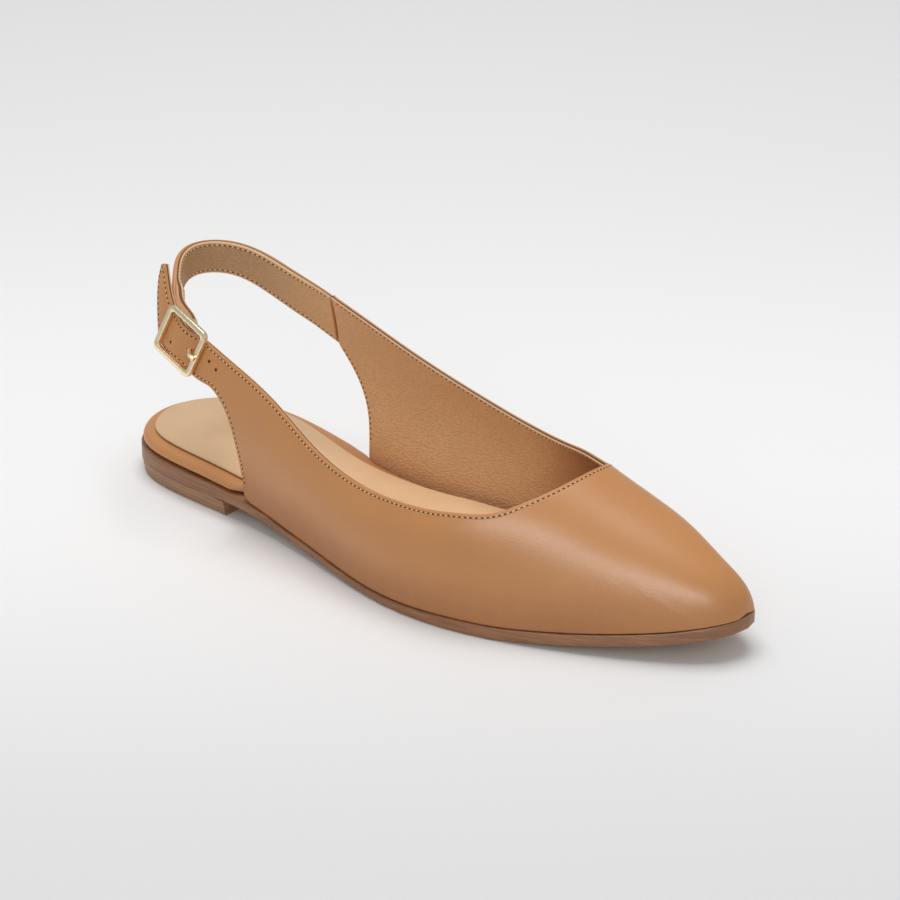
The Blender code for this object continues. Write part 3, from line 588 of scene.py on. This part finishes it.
def welded_copy(node, name):
    """A copy of a CAD node with its corners welded and its triangles paired into quads."""
    data = frame["nodes"][node].data.copy()
    data.name = name
    data.materials.clear()
    piece = bpy.data.objects.new(name, data)
    bpy.context.scene.collection.objects.link(piece)
    select_only(piece)
    bpy.ops.mesh.customdata_custom_splitnormals_clear()
    bpy.ops.object.mode_set(mode="EDIT")
    bpy.ops.mesh.select_all(action="SELECT")
    bpy.ops.mesh.remove_doubles(threshold=WELD)
    bpy.ops.mesh.tris_convert_to_quads(
        face_threshold=CORNER_ANGLE, shape_threshold=math.radians(60), topology_influence=1.0
    )
    bpy.ops.object.mode_set(mode="OBJECT")
    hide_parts(node)
    return piece


def settle(piece):
    """The finished piece rides on the shoe."""
    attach(piece, "root")


def apply_modifiers(piece):
    select_only(piece)
    for modifier in list(piece.modifiers):
        bpy.ops.object.modifier_apply(modifier=modifier.name)


def subdivide(piece, levels):
    made = piece.modifiers.new("smooth", "SUBSURF")
    made.levels = made.render_levels = levels
    apply_modifiers(piece)
    piece.data.shade_smooth()


def soften(piece, width, segments, angle=math.radians(30)):
    """Rounds the hard edges a little and shades the rest smooth."""
    made = piece.modifiers.new("soften", "BEVEL")
    made.limit_method = "ANGLE"
    made.angle_limit = angle
    made.width = width
    made.segments = segments
    made.harden_normals = False
    apply_modifiers(piece)
    bpy.ops.object.shade_smooth_by_angle(angle=math.radians(40))


def sewn_from(x):
    """The height from which the upper's edge is sewn: below it the sole holds the leather."""
    return SEWN_ABOVE + TOE_LIFT * (x > 0)


def tab_growth(x):
    """How far the strap end's lower edge stands out at this place along the shoe."""
    ahead = x - WINDOW_MIDDLE_X
    place = min(max(-ahead / TAB_REACH[0], ahead / TAB_REACH[1]), 1)
    least, most = TAB_GROWTH
    middle, width, further = TAB_CORNER
    return least + place**2 * (most - least) + further * math.exp(-(((x - middle) / width) ** 2))


def spread(piece, up, outwards, upwards=0.0):
    """Moves the rim of the faces that look up, or down where up is -1, by these steps."""
    mesh = bmesh.new()
    mesh.from_mesh(piece.data)
    facing = {face for face in mesh.faces if face.normal.z * up > LEVEL}
    moves = {}
    for corner in {corner for face in facing for corner in face.verts}:
        around = [face.normal for face in corner.link_faces if face not in facing]
        out = sum(around, Vector()) * Vector((1, 1, 0))
        moves[corner] = out.normalized() * outwards + Vector((0, 0, upwards))
    for corner, move in moves.items():
        corner.co += move
    mesh.to_mesh(piece.data)
    mesh.free()


def smooth_regions(mesh, angle):
    """The mesh's faces in groups that meet at less than this angle, the largest first."""
    left = set(mesh.faces)
    groups = []
    while left:
        group = [left.pop()]
        for face in group:
            for edge in face.edges:
                if len(edge.link_faces) == 2 and edge.calc_face_angle(0) < angle:
                    for other in edge.link_faces:
                        if other in left:
                            left.remove(other)
                            group.append(other)
        groups.append(group)
    return sorted(groups, key=lambda group: -sum(face.calc_area() for face in group))


def border_loops(group, other):
    """The closed rows of corners where two groups of faces meet, the longest first."""
    other = set(other)
    edges = {e for face in group for e in face.edges if any(f in other for f in e.link_faces)}
    loops = []
    while edges:
        edge = min(edges, key=lambda found: found.index)
        edges.remove(edge)
        loop = [edge.verts[0], edge.verts[1]]
        while True:
            following = [e for e in loop[-1].link_edges if e in edges]
            if not following:
                break
            edges.remove(following[0])
            loop.append(following[0].other_vert(loop[-1]))
        loops.append(loop)
    return sorted(loops, key=lambda loop: -len(loop))


class Seam:
    """A row of points along a leather edge, each with its way in from the edge."""

    def __init__(self, piece, skin, points, inward):
        self.piece = piece
        self.skin = skin
        self.points = np.array(points)
        self.inward = np.array(inward)


SEAMS = []


def store(piece, name, values):
    """Keeps a number for each corner of the piece, for its material to read."""
    layer = piece.data.attributes.new(name, "FLOAT", "POINT")
    layer.data.foreach_set("value", np.asarray(values, np.float32))


def corners_of(piece):
    points = np.empty(len(piece.data.vertices) * 3)
    piece.data.vertices.foreach_get("co", points)
    return points.reshape(-1, 3)


def distances(points, rows):
    """How far each of the points is from the nearest point of the rows."""
    tree = KDTree(len(rows))
    for i, row in enumerate(rows):
        tree.insert(row, i)
    tree.balance()
    return [tree.find(point)[2] for point in points]


def note_distances(piece, by_sole=False):
    """Keeps each corner's distance from the piece's seams and from the sole, or else far."""
    points = corners_of(piece)
    far = np.full(len(points), FAR)
    seams = [spaced(seam.points, SEAM_STEP)[0] for seam in SEAMS if seam.piece == piece]
    store(piece, "edge_distance", distances(points, np.concatenate(seams)) if seams else far)
    sole = corners_of(frame["nodes"]["outsole"])
    store(piece, "foot_distance", distances(points, sole) if by_sole else far)


def along(points):
    """The distance walked at each point of a row."""
    return np.concatenate(([0], np.cumsum(np.linalg.norm(np.diff(points, axis=0), axis=1))))


def spaced(points, step, *others):
    """The row, and other rows beside it, at even steps along the row."""
    walked = along(points)
    count = max(2, int(round(walked[-1] / step)))
    places = np.linspace(0, walked[-1], count + 1)
    return [
        np.column_stack([np.interp(places, walked, row[:, k]) for k in range(3)])
        for row in (points, *others)
    ]


def unit(rows):
    return rows / np.maximum(np.linalg.norm(rows, axis=-1, keepdims=True), 1e-12)


class SHOE_OT_upper(bpy.types.Operator):
    """Models the upper: leather outside, lining inside and a turned edge between them"""

    bl_idname = "shoe.upper"
    bl_label = "Upper"

    def execute(self, context):
        piece = welded_copy("upper", "vamp_and_quarters")
        lay_leathers(piece)
        mesh = bmesh.new()
        mesh.from_mesh(piece.data)
        mesh.verts.layers.float.new("across")
        mesh.verts.layers.float.new("crease_vert")
        mesh.edges.layers.float.new("crease_edge")
        for name in ("wall", "away"):
            mesh.verts.layers.float_vector.new(name)
        outer, inner, *rim = smooth_regions(mesh, CORNER_ANGLE)
        if sum((face.normal.dot(face.calc_center_median() - SHOE_MIDDLE) for face in outer)) < 0:
            outer, inner = inner, outer
        rim = [face for group in rim for face in group]
        for face in inner:
            face.material_index = 1
        self.turn_edge(mesh, piece, outer, inner, rim)
        mesh.to_mesh(piece.data)
        mesh.free()
        subdivide(piece, 2)
        note_distances(piece, by_sole=True)
        settle(piece)
        return {"FINISHED"}

    def turn_edge(self, mesh, piece, outer, inner, rim):
        """Cuts the rim into leather, groove and lining bead, and notes the rows to sew along."""
        outer_row, inner_row = [border_loops(skin, rim)[0] for skin in (outer, inner)]
        across = mesh.verts.layers.float["across"]
        wall, away = [mesh.verts.layers.float_vector[name] for name in ("wall", "away")]
        outer_ends, inner_ends = set(outer_row), set(inner_row)
        rim_faces = set(rim)
        for corner in outer_ends | inner_ends:
            normals = [face.normal for face in corner.link_faces if face in rim_faces]
            corner[away] = sum(normals, Vector()).normalized()
            corner[across] = float(corner in inner_ends)
        ladder = []
        rim_edges = {edge for face in rim for edge in face.edges}
        for edge in sorted(rim_edges, key=lambda found: found.index):
            low, high = edge.verts
            if low in inner_ends:
                low, high = high, low
            if low in outer_ends and high in inner_ends:
                ladder.append(edge)
                low[wall] = high[wall] = high.co - low.co
        for corner in outer_ends | inner_ends:
            if corner.co.x < TAB_END_X and corner.co.y < 0 and corner[away].z < DOWNWARDS:
                corner.co += corner[away] * tab_growth(corner.co.x)
        self.keep_sharp(mesh, rim_faces, ladder)
        for side, row in ((0, outer_row), (1, inner_row)):
            points = np.array([corner.co[:] for corner in row])
            outwards = np.array([corner[away][:] for corner in row])
            self.note_seams(piece, side, points, outwards)
        bmesh.ops.subdivide_edges(mesh, edges=ladder, cuts=len(EDGE_CUTS), use_grid_fill=True)
        cuts = dict(zip((0.25, 0.5, 0.75), EDGE_CUTS))
        for corner in mesh.verts:
            place = round(corner[across], 3)
            if place in cuts and corner[away].length > ON_EDGE:
                corner.co += corner[wall] * (cuts[place] - place)
                if place == 0.5 and corner.co.z > sewn_from(corner.co.x):
                    corner.co -= corner[away].normalized() * EDGE_GROOVE
        for face in mesh.faces:
            middle = sum(corner[across] for corner in face.verts) / len(face.verts)
            if all(corner[away].length > ON_EDGE for corner in face.verts) and 0 < middle < 1:
                face.material_index = EDGE_STRIPS[int(middle * 4)]

    def keep_sharp(self, mesh, rim_faces, ladder):
        """Keeps the edge's rims crisp, and its real corners sharp where the strap is joined on."""
        crease = mesh.edges.layers.float["crease_edge"]
        corner_crease = mesh.verts.layers.float["crease_vert"]
        for face in rim_faces:
            for edge in face.edges:
                if sum(other in rim_faces for other in edge.link_faces) == 1:
                    edge[crease] = EDGE_CREASE
        for edge in ladder:
            if edge.calc_face_angle(0) > EDGE_CORNER and edge.verts[0].co.y > 0:
                edge[crease] = 1
                for corner in edge.verts:
                    corner[corner_crease] = 1

    def note_seams(self, piece, side, points, outwards):
        """Notes each stretch of the edge that is sewn, but for the sole and the strap's seam."""
        at_strap = (points[:, 0] < STRAP_SEAM_X) & (points[:, 1] > 0)
        at_strap &= (points[:, 2] > STRAP_SEAM_Z[0]) & (points[:, 2] < STRAP_SEAM_Z[1])
        sewn = (points[:, 2] > sewn_from(points[:, 0])) & ~at_strap
        start = int(np.argmin(sewn))
        rolled = (np.roll(rows, -start, axis=0) for rows in (points, outwards, sewn))
        points, outwards, sewn = rolled
        breaks = np.flatnonzero(np.diff(sewn.astype(int))) + 1
        for run in np.split(np.arange(len(points)), breaks):
            if sewn[run[0]] and len(run) > 3:
                SEAMS.append(Seam(piece, side, points[run], -outwards[run]))


class SHOE_OT_strap(bpy.types.Operator):
    """Models the sling strap: leather, lining and the groove between them"""

    bl_idname = "shoe.strap"
    bl_label = "Sling strap"

    def execute(self, context):
        piece = welded_copy("sling_strap", "heel_strap")
        lay_leathers(piece)
        mesh = bmesh.new()
        mesh.from_mesh(piece.data)
        line = mesh.verts.layers.int.new("line")
        end_crease = mesh.verts.layers.float.new("crease_vert")
        rows = self.rows(mesh)
        for row in rows:
            row[0][end_crease] = 1
        self.narrow_grooves(rows)
        for number, row in enumerate(rows):
            for corner in row:
                corner[line] = number + 1
        count = len(rows)
        for face in mesh.faces:
            numbers = sorted({corner[line] for corner in face.verts})
            if len(numbers) == 2 and numbers[0]:
                low, high = numbers
                strip = low - 1 if high - low == 1 else count - 1
                face.material_index = STRAP_STRIPS[strip]
        points = [np.array([corner.co[:] for corner in row]) for row in rows]
        long = min(len(points[k]) for k in (*STRAP_FACES[0], *STRAP_FACES[1]))
        for side, (first, second) in enumerate(STRAP_FACES):
            for one, other in ((first, second), (second, first)):
                inward = unit(points[other][:long] - points[one][:long])
                SEAMS.append(Seam(piece, side, points[one][:long], inward))
        pairs = [{first + 1, second + 1} for first, second in STRAP_FACES]
        ladder = [edge for edge in mesh.edges if {corner[line] for corner in edge.verts} in pairs]
        bmesh.ops.subdivide_edges(mesh, edges=ladder, cuts=STRAP_CUTS, use_grid_fill=True)
        mesh.to_mesh(piece.data)
        mesh.free()
        subdivide(piece, 2)
        note_distances(piece)
        settle(piece)
        return {"FINISHED"}

    def narrow_grooves(self, rows):
        """Draws the lips of the grooves between leather and lining together."""
        for low, high in STRAP_LIPS:
            for first, second in zip(rows[low], rows[high]):
                middle = (first.co + second.co) / 2
                first.co = first.co.lerp(middle, LIP_CLOSE)
                second.co = second.co.lerp(middle, LIP_CLOSE)

    def rows(self, mesh):
        """The strap's long rows of corners, in the order of its section, from its sewn end."""
        end = max(corner.co.x for corner in mesh.verts)
        starts = [corner for corner in mesh.verts if corner.co.x > end - STRAP_END]
        middle = sum((corner.co for corner in starts), Vector()) / len(starts)

        def turn(corner):
            arm = corner.co - middle
            return math.atan2(arm.z, arm.y)

        rows = []
        for start in sorted(starts, key=turn):
            row = [start]
            way = Vector((-1, 0, 0))
            while True:
                steps = []
                for edge in row[-1].link_edges:
                    other = edge.other_vert(row[-1])
                    step = (other.co - row[-1].co).normalized()
                    steps.append((step.dot(way), edge.index, other, step))
                best = max(steps, key=lambda found: found[:2])
                if best[0] < 0.8 or best[2] in row:
                    break
                row.append(best[2])
                way = best[3]
            rows.append(row)
        return rows


class SHOE_OT_stitches(bpy.types.Operator):
    """Sews along every noted edge: a thread stitch and a needle hole of painted shade, each
    modelled once
    """

    bl_idname = "shoe.stitches"
    bl_label = "Stitching"

    def execute(self, context):
        own = settings().thread
        insets = (own.inset, own.lining_inset)
        places = []
        for seam in SEAMS:
            places += self.places(seam, insets[seam.skin], own.pitch)
        half = own.pitch / 2
        thread = self.bead("stitch", (own.pitch * 0.3, own.wide / 2, own.wide * 0.4))
        hole = self.bead("needle_hole", (own.pitch * 0.36, own.wide * 0.6, own.wide * 0.2))
        raised = [(p, t, n, THREAD_LIFT) for p, t, n in places]
        self.sew("stitching", thread, raised, thread_with_painted_highlight())
        shifted = [(p + t * half, t, n, 0.0) for p, t, n in places]
        self.sew("needle_holes", hole, shifted, hole_shade())
        return {"FINISHED"}

    def bead(self, name, radii):
        """One small bead: a coarse ball drawn out along the seam."""
        bpy.ops.object.select_all(action="DESELECT")
        bpy.ops.mesh.primitive_uv_sphere_add(segments=8, ring_count=5, radius=1)
        piece = bpy.context.object
        piece.name = name
        bpy.ops.object.mode_set(mode="EDIT")
        bpy.ops.transform.rotate(value=math.pi / 2, orient_axis="Y", center_override=(0, 0, 0))
        bpy.ops.transform.resize(value=radii, center_override=(0, 0, 0))
        bpy.ops.object.mode_set(mode="OBJECT")
        return piece

    def places(self, seam, inset, pitch):
        """Each stitch of a seam: its place on the leather, its run and the leather's normal."""
        points, inward = spaced(seam.points + seam.inward * inset, pitch, seam.inward)
        tree = skin_tree(seam.piece, seam.skin)
        found = []
        for point in points[1:-1]:
            place, normal, _, gap = tree.find_nearest(Vector(point))
            if gap < STITCH_REACH:
                found.append((np.array(place), np.array(normal)))
        rows = []
        for i in range(len(found) - 1):
            place, normal = found[i]
            run = found[i + 1][0] - place
            if np.linalg.norm(run) < 2 * pitch:
                run = unit(run - normal * (run @ normal))
                rows.append((place, run, normal))
        return rows

    def sew(self, name, model, places, finish):
        """One piece that holds a copy of the model at each place."""
        shape = corners_of(model)
        faces = [tuple(face.vertices) for face in model.data.polygons]
        points, all_faces = [], []
        for place, run, normal, lift in places:
            turned = np.array((run, np.cross(normal, run), normal))
            all_faces += [tuple(k + len(points) * len(shape) for k in face) for face in faces]
            points.append(shape @ turned + place + normal * lift)
        data = bpy.data.meshes.new(name)
        data.from_pydata(np.concatenate(points).tolist(), [], all_faces)
        data.materials.append(finish)
        data.shade_smooth()
        piece = bpy.data.objects.new(name, data)
        bpy.context.scene.collection.objects.link(piece)
        bpy.data.objects.remove(model)
        settle(piece)


SKIN_TREES = {}


def skin_tree(piece, skin):
    """The faces of one of the piece's finishes, for finding the nearest place on them."""
    key = (piece.name, skin)
    if key not in SKIN_TREES:
        points = [tuple(corner.co) for corner in piece.data.vertices]
        faces = [tuple(f.vertices) for f in piece.data.polygons if f.material_index == skin]
        SKIN_TREES[key] = BVHTree.FromPolygons(points, faces)
    return SKIN_TREES[key]


class SHOE_OT_holes(bpy.types.Operator):
    """Marks the strap end's holes with a dish of painted shade and a pressed rim, each modelled
    once
    """

    bl_idname = "shoe.holes"
    bl_label = "Punched holes"

    def execute(self, context):
        upper = bpy.data.objects["vamp_and_quarters"]
        tree = skin_tree(upper, 0)
        dishes = []
        for number, hole in enumerate(PUNCHED_HOLES, 1):
            dishes.append((f"punched_hole_{number}", PUNCH_RADIUS, hole))
        dishes.append(("prong_hole", PRONG_HOLE_RADIUS, PRONG_HOLE))
        for name, radius, (x, z) in dishes:
            place, normal, _, _ = tree.ray_cast(Vector((x, -0.1, z)), Vector((0, 1, 0)))
            piece = self.dish(name, radius)
            turned = normal.to_track_quat("Z", "Y").to_matrix().to_4x4()
            piece.data.transform(Matrix.Translation(place) @ turned)
            settle(piece)
        return {"FINISHED"}

    def dish(self, name, radius):
        """A round dish: a disc inset twice and pushed in, with a raised rim."""
        bpy.ops.object.select_all(action="DESELECT")
        bpy.ops.mesh.primitive_cylinder_add(
            vertices=24, radius=radius, depth=0.5 * MM, location=(0, 0, -0.17 * MM)
        )
        piece = bpy.context.object
        piece.name = name
        piece.data.materials.append(hole_shade())
        bpy.ops.object.transform_apply(location=True)
        mesh = bmesh.new()
        mesh.from_mesh(piece.data)
        top = [face for face in mesh.faces if face.normal.z > LEVEL]
        bmesh.ops.inset_region(mesh, faces=top, thickness=radius * 0.15, depth=0)
        bmesh.ops.inset_region(mesh, faces=top, thickness=radius * 0.15, depth=-0.05 * MM)
        mesh.to_mesh(piece.data)
        mesh.free()
        bpy.ops.object.shade_smooth_by_angle(angle=math.radians(50))
        return piece


class SHOE_OT_footbed(bpy.types.Operator):
    """Models the footbed's wrapped rim and the sock that lies on it"""

    bl_idname = "shoe.footbed"
    bl_label = "Footbed and sock"

    def execute(self, context):
        rim = welded_copy("footbed", "footbed_rim")
        spread(rim, -1, RIM_GROWTH)
        self.meet_quarter(rim)
        rim.data.materials.append(tan_leather())
        rim.data.materials.append(groove_shade())
        # Painted shade: the rim's downward faces take the dark groove finish.
        for face in rim.data.polygons:
            if face.normal.z < UNDERSIDE:
                face.material_index = 1
        subdivide(rim, 2)
        note_distances(rim)
        settle(rim)
        sock = welded_copy("insole", "sock")
        sock.data.materials.append(sock_leather())
        soften(sock, 0.25 * MM, 2)
        settle(sock)
        return {"FINISHED"}

    def meet_quarter(self, rim):
        """Runs the full rim on to the quarters' rear edges before it narrows."""
        full, narrow, edge = RIM_NARROWS
        start, end = INNER_NARROWS
        for corner in rim.data.vertices:
            x = corner.co.x
            if corner.co.y < 0 and full < x < narrow:
                corner.co.x = full + (x - full) * (edge - full) / (narrow - full)
            if corner.co.y > 0 and start < x < end:
                place = (x - start) / (end - start)
                corner.co.y += INNER_STEP * place**2 * (3 - 2 * place)


class SHOE_OT_sole(bpy.types.Operator):
    """Models the leather outsole and the stacked heel"""

    bl_idname = "shoe.sole"
    bl_label = "Outsole and heel"

    def execute(self, context):
        sole = welded_copy("outsole", "leather_sole")
        spread(sole, 1, SOLE_GROWTH)
        sole.data.materials.append(sole_leather())
        soften(sole, 0.25 * MM, 2)
        settle(sole)
        heel = welded_copy("heel", "heel_stack")
        heel.data.materials.append(stacked_leather())
        spread(heel, 1, 0, HEEL_JOIN)
        select_only(heel)
        bpy.ops.object.shade_smooth_by_angle(angle=math.radians(40))
        settle(heel)
        return {"FINISHED"}


class SHOE_OT_buckle(bpy.types.Operator):
    """Polishes the buckle's frame and its prong"""

    bl_idname = "shoe.buckle"
    bl_label = "Buckle and prong"

    def execute(self, context):
        buckle = welded_copy("buckle", "buckle_frame")
        buckle.data.materials.append(gold_plate())
        soften(buckle, 0.12 * MM, 2)
        settle(buckle)
        prong = welded_copy("buckle_prong", "prong")
        prong.data.materials.append(gold_plate())
        soften(prong, 0.15 * MM, 3, math.radians(50))
        bpy.ops.object.mode_set(mode="EDIT")
        bpy.ops.mesh.select_all(action="SELECT")
        bpy.ops.transform.shrink_fatten(value=PRONG_GROWTH)
        bpy.ops.object.mode_set(mode="OBJECT")
        settle(prong)
        return {"FINISHED"}


def area_light(name, place, aim, size, power):
    data = bpy.data.lights.new(name, "AREA")
    data.shape = "RECTANGLE"
    data.size, data.size_y = size
    data.energy = power
    light = bpy.data.objects.new(name, data)
    bpy.context.scene.collection.objects.link(light)
    light.location = place
    light.rotation_euler = (Vector(place) - Vector(aim)).to_track_quat("Z", "Y").to_euler()
    return light


class SHOE_OT_studio(bpy.types.Operator):
    """Builds the studio: a pale floor, soft light and the camera at the photograph's angle"""

    bl_idname = "shoe.studio"
    bl_label = "Studio"

    def execute(self, context):
        own = settings().studio
        scene = context.scene
        scene.view_settings.view_transform = "Standard"
        bpy.ops.object.select_all(action="DESELECT")
        bpy.ops.mesh.primitive_plane_add(size=FLOOR_SIZE, location=(0, 0, 0))
        floor = bpy.context.object
        floor.name = "studio_floor"
        floor.data.materials.append(self.floor_with_painted_shade(own))
        world = bpy.data.worlds.new("studio")
        world.use_nodes = True
        world.node_tree.nodes["Background"].inputs["Color"].default_value = (1, 1, 1, 1)
        world.node_tree.nodes["Background"].inputs["Strength"].default_value = own.world
        scene.world = world
        area_light("overhead", (-0.15, 0.1, 1.6), (0, 0, 0), (1.2, 1.0), own.key)
        area_light("fill", (0.9, -1.3, 0.9), (0, 0, 0.03), (1.0, 1.0), own.key * 0.25)
        place, aim = (0.76, -0.92, 0.7), (0.1, -0.02, 0.03)
        card = area_light("gloss card", place, aim, (1.15, 0.32), own.card)
        card.visible_diffuse = False
        self.camera(scene)
        return {"FINISHED"}

    def floor_with_painted_shade(self, own):
        finish = Finish("studio floor")
        floor = tuple(own.floor)
        cloud = finish.noise(0.6, 2.0)
        toned = finish.mix(cloud, toned_by(floor, 0.99), floor)
        # Painted shade: the floor darkens away from the camera and towards it.
        ahead = (-math.sin(CAMERA_AZIMUTH), math.cos(CAMERA_AZIMUTH), 0)
        terms = {0: finish.place, 1: ahead}
        away = finish.node("ShaderNodeVectorMath", {"operation": "DOT_PRODUCT"}, terms, 1)
        start, end, tone = FLOOR_SHADE_BEYOND
        toned = finish.mix(finish.between(away, start, end), toned, toned_by(floor, tone))
        start, end, tone = FLOOR_SHADE_BEFORE
        toned = finish.mix(finish.between(0 - away, -start, -end), toned, toned_by(floor, tone))
        finish.set(base_color=toned, roughness=0.75)
        return finish.material

    def camera(self, scene):
        data = bpy.data.cameras.new("studio camera")
        data.lens = CAMERA_LENS
        camera = bpy.data.objects.new("studio camera", data)
        scene.collection.objects.link(camera)
        camera.rotation_euler = (math.pi / 2 - CAMERA_ELEVATION, 0, CAMERA_AZIMUTH)
        back = camera.rotation_euler.to_matrix() @ Vector((0, 0, 1))
        camera.location = CAMERA_AIM + back * CAMERA_DISTANCE
        scene.camera = camera


class SHOE_PT_panel(bpy.types.Panel):
    """The shoe's pieces and finishes, listed in the sidebar"""

    bl_idname = "SHOE_PT_panel"
    bl_label = "Sling back flat"
    bl_space_type = "VIEW_3D"
    bl_region_type = "UI"
    bl_category = "Shoe"

    def draw(self, context):
        for group in GROUPS:
            box = self.layout.box()
            for name in group.__annotations__:
                box.prop(getattr(context.scene.shoe, GROUPS[group]), name)
        for step in STEPS:
            self.layout.operator(step.bl_idname)


GROUPS = {
    LeatherSettings: "leather",
    SoleSettings: "sole",
    ThreadSettings: "thread",
    BuckleSettings: "buckle",
    StudioSettings: "studio",
}
STEPS = (
    SHOE_OT_upper,
    SHOE_OT_strap,
    SHOE_OT_footbed,
    SHOE_OT_sole,
    SHOE_OT_buckle,
    SHOE_OT_holes,
    SHOE_OT_stitches,
    SHOE_OT_studio,
)
CLASSES = (*GROUPS, ShoeSettings, *STEPS, SHOE_PT_panel)


def register():
    for made in CLASSES:
        bpy.utils.register_class(made)
    bpy.types.Scene.shoe = PointerProperty(type=ShoeSettings)


def unregister():
    del bpy.types.Scene.shoe
    for made in reversed(CLASSES):
        bpy.utils.unregister_class(made)


def main():
    register()
    for step in STEPS:
        group, name = step.bl_idname.split(".")
        getattr(getattr(bpy.ops, group), name)()


if __name__ == "__main__":
    main()
